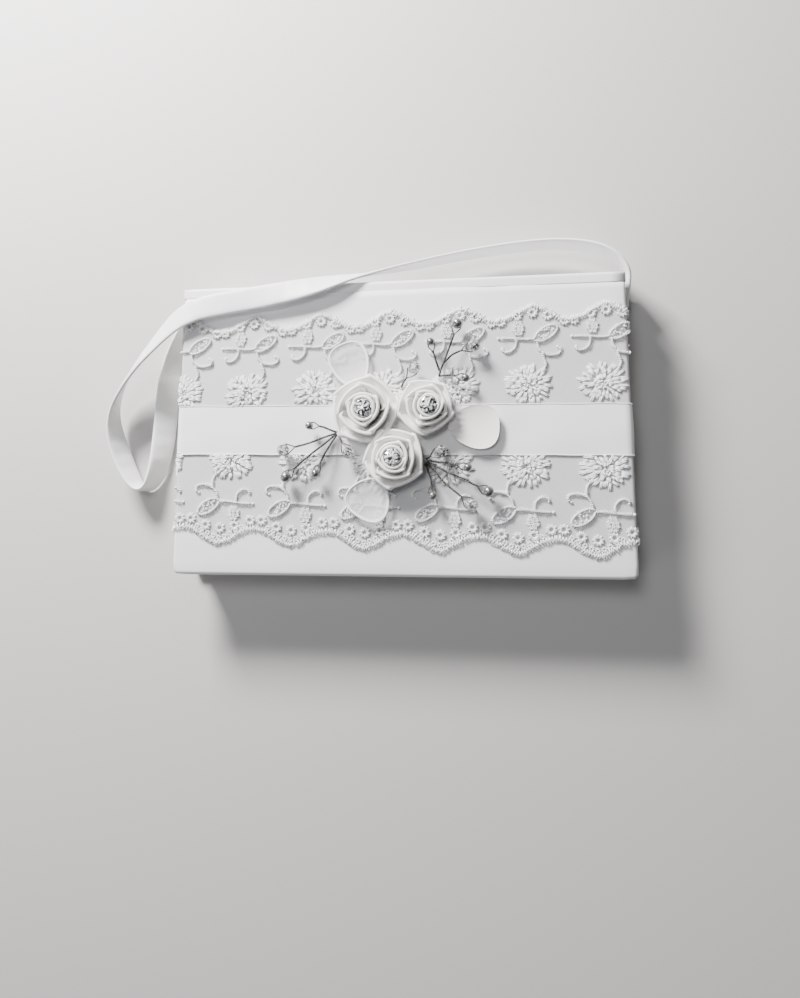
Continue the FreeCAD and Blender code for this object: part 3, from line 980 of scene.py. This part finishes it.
def smooth_line(points, step):
    """Even points along a smooth curve through the given ones."""
    dense = []
    count = len(points)
    for i in range(count - 1):
        p0 = points[max(i - 1, 0)]
        p1 = points[i]
        p2 = points[i + 1]
        p3 = points[min(i + 2, count - 1)]
        for k in range(12):
            t = k / 12
            dense.append(tuple(0.5 * (2 * p1[c] + (p2[c] - p0[c]) * t
                                      + (2 * p0[c] - 5 * p1[c] + 4 * p2[c] - p3[c]) * t * t
                                      + (3 * p1[c] - p0[c] - 3 * p2[c] + p3[c]) * t * t * t)
                               for c in range(len(p1))))
    dense.append(tuple(points[-1]))
    even = [dense[0]]
    left = step
    for a, b in zip(dense[:-1], dense[1:]):
        gap = math.dist(a, b)
        while gap >= left:
            t = left / gap
            a = tuple(a[c] + (b[c] - a[c]) * t for c in range(len(a)))
            even.append(a)
            gap = math.dist(a, b)
            left = step
        left -= gap
    return even


def make_lace(name, strip, seed):
    """Net ground with its embroidery, from under the satin band to the scalloped edge."""
    side = strip["side"]
    net = Shape()
    rows = []
    for x in spaced(-SIDE_REACH, SIDE_REACH, 0.8):
        a = side * (strip["middle"] + strip["pitch"] / 2 - x)
        outer = crest_line(strip, x) - side * (scallop(strip, a) + 0.7)
        inner = band_middle(x) + side * (BAND_WIDTH / 2 - 2.5)
        rows.append([on_cover(x, inner + (outer - inner) * k / 16, NET_LEVEL) for k in range(17)])
    net.grid(rows)
    ground = make_piece(name + "_net", net, lace_net, "front_cover", [name])
    threads = Shape()
    chance = random.Random(seed)
    for k in range(-4, 5):
        Motif(threads, strip, strip["middle"] + strip["pitch"] * (k - 0.5), chance).make()
    work = make_piece(name + "_threads", threads, lace_thread, "front_cover")


def make_band():
    """Satin ribbon round the cover, over the inner edges of both laces, with corded selvages."""
    band = Shape()
    rows = []
    edges = {-1: [], 1: []}
    level = 0.50                  # over both laces
    for x in spaced(-SIDE_REACH, SIDE_REACH, 1.5):
        middle = band_middle(x)
        row = []
        for k in range(21):
            v = k / 10 - 1
            wave_h = 0.05 * math.sin(0.23 * x + 2 * v) + 0.05 * math.sin(0.09 * x - 3.1 * v)
            edge = 0.10 * math.sin(0.31 * x + 1.7) * abs(v) ** 3
            rise = (wave_h + 0.12) * (1 - v * v)
            row.append(on_cover(x, middle + v * BAND_WIDTH / 2 + edge, level + rise))
        rows.append(row)
        for sign, point in ((-1, row[0]), (1, row[-1])):
            edges[sign].append(Vector(point))
    band.grid(rows)
    ribbon = make_piece("band_ribbon", band, ribbon_satin, "front_cover", ["satin_band"])
    selvage = Shape()
    for sign, path in edges.items():
        selvage.tube(path, 0.24, 8, flat=0.8)
    cord = make_piece("band_selvages", selvage, selvage_thread, "front_cover")


make_lace("upper_lace", upper_strip, 11)
make_lace("lower_lace", lower_strip, 12)
make_band()


# ---------------------------------------------------------------- corsage

rose_low = node_box("rose_1")[0]
stone_low = node_box("rhinestones")[0]
cup_low, cup_high = node_box("rhinestone_cups")
pearl_low, pearl_high = node_box("pearls_large")
bead_level = (pearl_low.z + pearl_high.z) / 2
LARGE_PEARL = (pearl_high.z - pearl_low.z) / 2
SMALL_PEARL = 1.65
CRYSTAL = 2.6
STONE = 3.2
ROLL = 0.55           # radius of a petal's rolled rim
PETAL_STEPS = 30
SIDE_GAP = 0.35       # between a ribbon loop's two layers along its sides
GATHERED = 0.34       # share of a loop's length that is gathered at the root
WIRE = 0.25           # radius of one strand, and of the turn that two make
WIRE_STEP = 0.3       # between points along a wire
# Each rose: node, size, turn in degrees, how far its outer petals sit off the stone's centre along X
roses = [("rose_1", 1.17, 52.0, 0.0), ("rose_2", 0.95, 20.0, -1.7), ("rose_3", 1.02, 85.0, 0.0)]
# Layers of petals from the middle out: rim radius, rim height, sloping reach, count, squareness
petal_layers = [
    (4.40, 9.7, 0.60, 2, 0.05),
    (6.10, 9.4, 1.50, 3, 0.22),
    (8.60, 8.2, 2.50, 4, 0.32),
    (11.55, 5.8, 3.60, 5, 0.50),
]


def node_middle(node):
    low, high = node_box(node)
    return (low + high) / 2


def petal_spread(count):
    """Half the angle that one petal covers in a layer of count petals, with its overlap."""
    return min(math.pi / count * 1.30, 1.9)


def petal(shape, centre, base, layer, facing, size, chance):
    """Ribbon folded over its rolled rim: slopes up to the rim and back down behind, open below."""
    radius, height, reach, count, square = layer
    half = math.pi / count
    spread = petal_spread(count)
    phase = chance.uniform(0, 6.28)
    tilt = chance.uniform(-0.25, 0.25)
    rows = []
    for k in range(PETAL_STEPS + 1):
        share = 2 * k / PETAL_STEPS - 1
        angle = share * spread
        straight = math.cos(half) / math.cos(min(abs(angle), half * 0.96))
        rim = radius * ((1 - square) * 0.97 + square * straight * 1.03) + 0.40 * share
        over = max(0.0, (abs(share) - 0.74) / 0.26)
        rim -= (0.9 + 0.9 * square) * over ** 2
        top = height + tilt * share - (0.9 + 1.6 * square) * over ** 2
        top -= 0.35 * share * share
        wobble = 0.07 * math.sin(9 * angle + phase)
        profile = []
        for j in range(7):
            t = j / 6
            r = rim - ROLL - reach * (1 - t) ** 1.25
            z = 0.2 + (top - ROLL) * (0.04 + 0.96 * t ** 0.70) + wobble * (1 - t) * 2
            profile.append((r, z))
        for a in (150, 120, 90, 60, 30, 0):
            c, s = math.cos(math.radians(a)), math.sin(math.radians(a))
            profile.append((rim + 1.15 * ROLL * c, top - ROLL + ROLL * s))
        for t in (0.15, 0.4, 0.7, 1.0):
            profile.append((rim + 0.5 * ROLL - 0.9 * t + wobble, (top - ROLL) * (1 - t)))
        c, s = math.cos(facing + angle), math.sin(facing + angle)
        rows.append([(centre.x + size * r * c, centre.y + size * r * s, base + z) for r, z in profile])
    shape.grid(rows)


def make_rose(node, size, turn, shift, seed):
    """Layers of folded petals round a dish for the stone; the cut is the ribbon that all rims take up."""
    chance = random.Random(seed)
    middle = node_middle(node)
    base = rose_low.z
    shape = Shape()
    for number, layer in enumerate(petal_layers):
        count = layer[3]
        spread = size if number > 1 else 1.0 + 0.5 * (size - 1.0)
        centre = middle + Vector((shift * number / 3, 0, 0))
        for k in range(count):
            facing = math.radians(turn + 47.0 * number) + 2 * math.pi * k / count
            petal(shape, centre, base, layer, facing + chance.uniform(-0.08, 0.08), spread, chance)
    section = [(0.3, 7.9), (3.0, 7.95), (4.2, 7.6), (4.6, 6.0), (4.4, 3.0)]
    dish = [circle(middle.x, middle.y, base + z, r, 24) for r, z in section]
    shape.grid(dish, ring=True, capped=True)
    piece = make_piece(node + "_petals", shape, petal_satin, "front_cover", [node])
    weld(piece)


def make_felt():
    """Soft felt patch that the roses are sewn to."""
    low, high = node_box("corsage_base")
    top = high.z + 0.1
    section = [(0.5, top), (8.0, top), (9.6, high.z), (9.9, high.z - 0.25), (9.7, low.z), (0.5, low.z)]
    shape = Shape()
    for rose in roses:
        middle = node_middle(rose[0])
        rings = [circle(middle.x, middle.y, z, r, 40) for r, z in section]
        shape.grid(rings, ring=True, capped=True)
    make_piece("felt_patch", shape, felt, "front_cover", ["corsage_base"])


# Rings of a rhinestone's corners: height over the girdle, share of the radius, turn, zigzag
stone_cut = [
    (-0.50, 0.93, 0.0, 0.0), (0.0, 1.0, 0.0, 0.0), (0.40, 0.84, 0.5, 0.16),
    (0.55, 0.58, 0.0, 0.24), (0.62, 0.34, 0.5, 0.16), (0.80, 0.12, 0.0, 0.05),
]


def make_stones():
    """Foil-backed rhinestones cut in many facets, each in a scalloped cup with prongs."""
    stones = Shape()
    cups = Shape()
    girdle = stone_low.z + 1.4
    for rose in roses:
        middle = node_middle(rose[0])
        x, y = middle.x, middle.y
        rings = []
        for height, share, turn, zigzag in stone_cut:
            ring = circle(x, y, girdle + height, STONE * share, 18, turn)
            rings.append([(px, py, z + (zigzag if k % 2 else -zigzag)) for k, (px, py, z) in enumerate(ring)])
        stones.facets(rings, [turn for height, share, turn, zigzag in stone_cut])
        rows = []
        for k in range(48):
            a = 2 * math.pi * k / 48
            prong = max(0.0, math.cos(6 * a)) ** 3
            high = cup_high.z - 0.25 + 0.30 * prong
            lean_in = 0.35 * prong
            c, s = math.cos(a), math.sin(a)
            section = [(0.08, cup_low.z), (0.08, high - 0.15), (0.05 - lean_in, high),
                       (0.30 - lean_in, high + 0.05), (0.42, high - 0.25), (0.42, cup_low.z)]
            rows.append([(x + (STONE + r) * c, y + (STONE + r) * s, z) for r, z in section])
        cups.grid(rows + rows[:1], ring=True)
    make_piece("rhinestone_facets", stones, stone, "front_cover", ["rhinestones"], smooth=False)
    replaced = ["rhinestone_cups"]
    weld(make_piece("rhinestone_settings", cups, cup_metal, "front_cover", replaced))


def loop_outline(length, width, share):
    """Teardrop outline of a ribbon loop: share runs 0 to 1 from the root round the tip and back."""
    a = 2 * math.pi * share
    full = math.sin(a)
    body = 0.5 - 0.5 * math.cos(a)
    y = width / 2 * math.copysign(abs(full) ** 0.80, full) * (0.55 + 0.45 * body ** 0.8) * 1.05
    return length * body, y


def make_loop(name, node, root, tip, width, level, rise, material, selvage):
    """Ribbon loop: an upper and a lower layer joined by the fold at the tip, open along the sides."""
    root, tip = Vector((*root, 0)), Vector((*tip, 0))
    along = (tip - root).normalized()
    across = Vector((-along.y, along.x, 0))
    length = (tip - root).length
    steps = 72

    def at(share, ring, top):
        x, y = loop_outline(length, width, share)
        cx = 0.56 * length
        px, py = cx + (x - cx) * ring, y * ring
        gather = max(0.0, 1 - px / (GATHERED * length))
        pleat = 0.50 * math.sin(2.6 * py) * gather ** 1.3
        lift = rise * (1 - ring * ring) ** 0.8
        edge = rise * (0.62 + 0.20 * gather)
        z = level + edge + lift * (-0.30 if top else -0.52) + pleat
        if not top:
            z -= SIDE_GAP * min(1.0, max(0.0, (abs(share - 0.5) - 0.20) / 0.08))
        p = root + along * px + across * py
        return Vector((p.x, p.y, z))

    shape = Shape()
    rings = [0.04, 0.12, 0.2, 0.28, 0.36, 0.45, 0.54, 0.63, 0.72, 0.8, 0.88, 0.94, 0.985, 1.0]
    for top in (True, False):
        first = len(shape.points)
        shape.grid([[at(k / steps, r, top) for k in range(steps)] for r in rings], ring=True)
        shape.faces.append(tuple(first + k for k in range(steps)))
    loop = make_piece(name, shape, material, "front_cover", [node])
    weld(loop)
    if selvage:
        edge = Shape()
        path = [at(k / steps, 1.0, True) for k in range(1, steps)]
        edge.tube(path, selvage, 6)
        inner = [at(k / steps, 0.93, True) + Vector((0, 0, 0.1)) for k in range(3, steps - 2)]
        edge.tube(inner, selvage * 0.55, 6)
        make_piece(name + "_selvage", edge, selvage_thread, "front_cover")


# Each wire: where it starts, bends and carries its bead (x, y), and the kind of bead
sprays = {
    "wire_spray_upper_right": [
        ((17.7, 18.6), (20.5, 25.5), (25.5, 39.4), "large"),
        ((20.0, 24.3), (23.5, 27.0), (31.9, 30.3), "crystal"),
        ((18.3, 20.0), (16.6, 25.0), (14.7, 32.3), "small"),
        ((18.0, 18.7), (22.5, 18.6), (28.5, 17.3), "small"),
        ((2.6, 14.4), (5.0, 18.0), (8.1, 21.9), "crystal"),
    ],
    "wire_spray_left": [
        ((-23.6, -3.2), (-29.0, -1.2), (-34.4, -0.6), "small"),
        ((-23.8, -3.6), (-34.0, -7.5), (-45.0, -10.3), "crystal"),
        ((-23.8, -3.8), (-33.5, -12.0), (-43.6, -21.2), "large"),
        ((-23.6, -4.2), (-28.0, -12.0), (-31.5, -19.8), "small"),
        ((-22.6, -4.6), (-21.0, -8.0), (-18.2, -11.6), "crystal"),
    ],
    "wire_spray_lower_right": [
        ((12.4, -14.4), (15.0, -13.0), (18.8, -11.4), "crystal"),
        ((12.8, -15.0), (20.0, -16.0), (28.9, -17.9), "small"),
        ((12.8, -15.4), (24.0, -21.0), (36.7, -27.2), "large"),
        ((12.2, -16.2), (14.2, -22.0), (15.3, -28.7), "small"),
        ((12.6, -15.8), (20.0, -24.0), (30.1, -32.2), "crystal"),
    ],
}
bead_radius = {"large": LARGE_PEARL, "small": SMALL_PEARL, "crystal": CRYSTAL}


def twisted_wire(shape, start, elbow, bead, kind, chance):
    """Two thin strands turned round each other, which part in a V at the bead."""
    low = rose_low.z + 1.0
    a = Vector((*start, low))
    b = Vector((*elbow, (low + bead_level) / 2 + 0.8))
    c = Vector((*bead, bead_level))
    kink = chance.uniform(-0.5, 0.5)
    near = (a + b) / 2 + Vector((0.3 * kink, -0.3 * kink, 0.4))
    far = (b + c) / 2 + Vector((-0.4 * kink, 0.4 * kink, 0.2))
    line = smooth_line([tuple(p) for p in (a, near, b, far, c)], WIRE_STEP)
    radius = bead_radius[kind]
    fork = radius + 2.1
    for phase in (0, math.pi):
        path = []
        for k, place in enumerate(line):
            here = Vector(place)
            ahead = heading(line, k)
            side = ahead.cross(UP).normalized()
            above = side.cross(ahead)
            left = (len(line) - 1 - k) * WIRE_STEP
            if left > fork:
                turn = phase + 0.95 * k
                path.append(here + side * (WIRE * math.cos(turn)) + above * (WIRE * math.sin(turn)))
            elif left > 0.25 * radius:
                wide = min(WIRE + (fork - left) * 0.62, radius * 0.80)
                path.append(here + side * math.copysign(wide, math.cos(phase)) + above * 0.1)
        shape.tube(path, WIRE, 6)


def make_crystal(shape, centre, turn):
    """Cut bead: four rows of facets between small flat ends."""
    x, y, z = centre
    levels = [(-0.92, 0.30, 0.0), (-0.45, 0.80, 0.5), (0.0, 1.0, 0.0), (0.45, 0.80, 0.5), (0.92, 0.30, 0.0)]
    rings = [circle(x, y, z + CRYSTAL * h, CRYSTAL * r, 8, shift + turn) for h, r, shift in levels]
    shape.facets(rings, [shift for h, r, shift in levels])


def make_sprays():
    """Wires of each spray, and all beads of one kind as one piece."""
    beads = {kind: Shape() for kind in bead_radius}
    chance = random.Random(3)
    for name, wires in sprays.items():
        shape = Shape()
        for start, elbow, bead, kind in wires:
            twisted_wire(shape, start, elbow, bead, kind, chance)
            centre = (*bead, bead_level)
            if kind == "crystal":
                make_crystal(beads[kind], centre, chance.uniform(0, 1))
            else:
                beads[kind].ball(centre, bead_radius[kind], 32, 20)
        wire_name = name.replace("wire_spray", "twisted_wires")
        make_piece(wire_name, shape, wire_metal, "front_cover", [name])
    make_piece("large_pearls", beads["large"], pearl, "front_cover", ["pearls_large"])
    make_piece("small_pearls", beads["small"], pearl, "front_cover", ["pearls_small"])
    replaced = ["crystal_beads"]
    make_piece("cut_crystals", beads["crystal"], crystal, "front_cover", replaced, smooth=False)


def make_tab(node, name):
    """Folded satin tab with rounded long edges."""
    low, high = node_box(node)
    shape = Shape()
    r = (high.z - low.z) * 0.30
    y0, y1, z0, z1 = low.y + r, high.y - r, low.z + r, high.z - r
    corners = [(y1, z1), (y0, z1), (y0, z0), (y1, z0)]
    profile = []
    for number, (cy, cz) in enumerate(corners):
        profile += arc(cy, cz, r, 90 * number, 90 * number + 90, 5)
    sweep_x(shape, profile, low.x, high.x, 0.35, 0.5)
    make_piece(name, shape, strap_satin, "back_cover", [node])


make_felt()
for number, (node, size, turn, shift) in enumerate(roses):
    make_rose(node, size, turn, shift, 21 + number)
make_stones()
make_loop("right_loop", "satin_loop_right", (21.5, -1.2), (41.4, -2.2), 20.0, 24.5, 3.2, petal_satin,
          0.0)
make_loop("upper_organza", "organza_loop_upper", (-15.0, 15.4), (-21.4, 32.9), 18.0, 24.2, 2.6, organza,
          0.42)
make_loop("lower_organza", "organza_loop_lower", (-6.0, -23.0), (-14.2, -36.8), 20.0, 24.2, 2.8, organza,
          0.42)
make_sprays()
make_tab("strap_tab_head", "head_tab")
make_tab("strap_tab_tail", "tail_tab")
